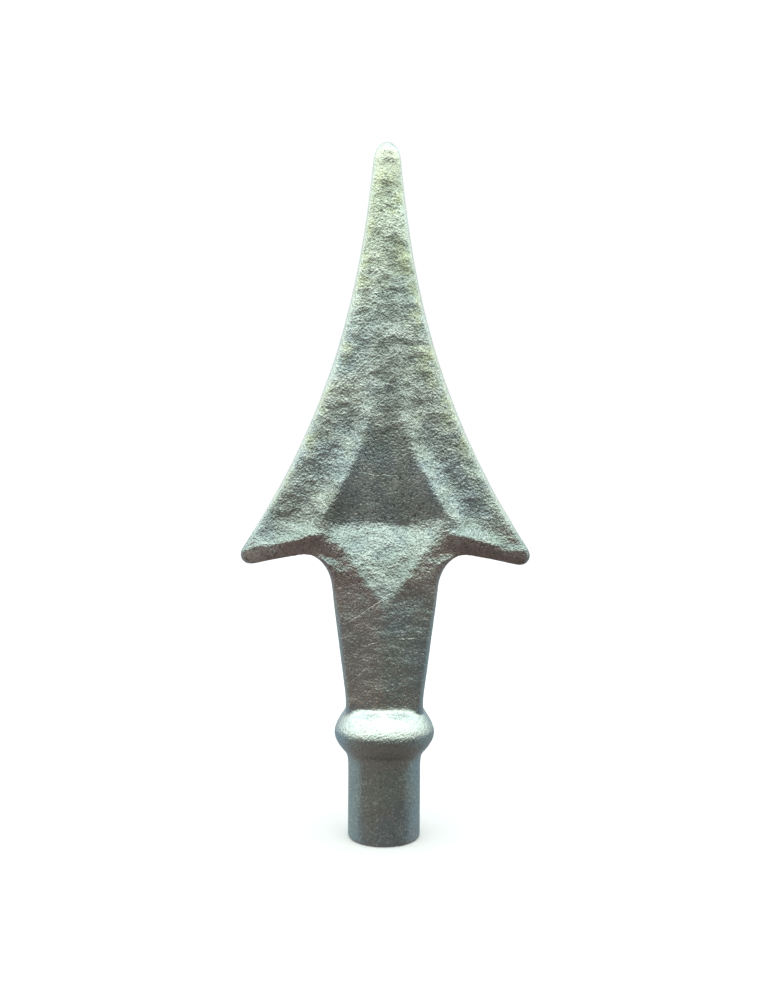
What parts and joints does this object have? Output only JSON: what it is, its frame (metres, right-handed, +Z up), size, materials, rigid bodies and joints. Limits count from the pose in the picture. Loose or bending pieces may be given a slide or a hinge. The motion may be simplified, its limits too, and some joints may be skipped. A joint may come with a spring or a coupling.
{
  "type": "fence spear finial",
  "caption": "Forged spear-point finial for a railing: flat fluted head with drooping barbs on a tapered neck, round collar bead and plain round shank.",
  "frame": {"origin": "centre of the flat lower end of the round shank, where the finial is welded to its picket", "axes": "+Z up along the shank to the point, +X across the width of the head, -Y out of the front of the head"},
  "size_m": [0.0644, 0.0222, 0.154],
  "materials": {
    "zinc_grey_steel": "grainy forged surface with a dull grey-green zinc coat, brown tints in the hollows, smoother on bead and shank"
  },
  "bodies": {
    "root": {"spear_finial": "zinc_grey_steel"}
  },
  "joints": []
}
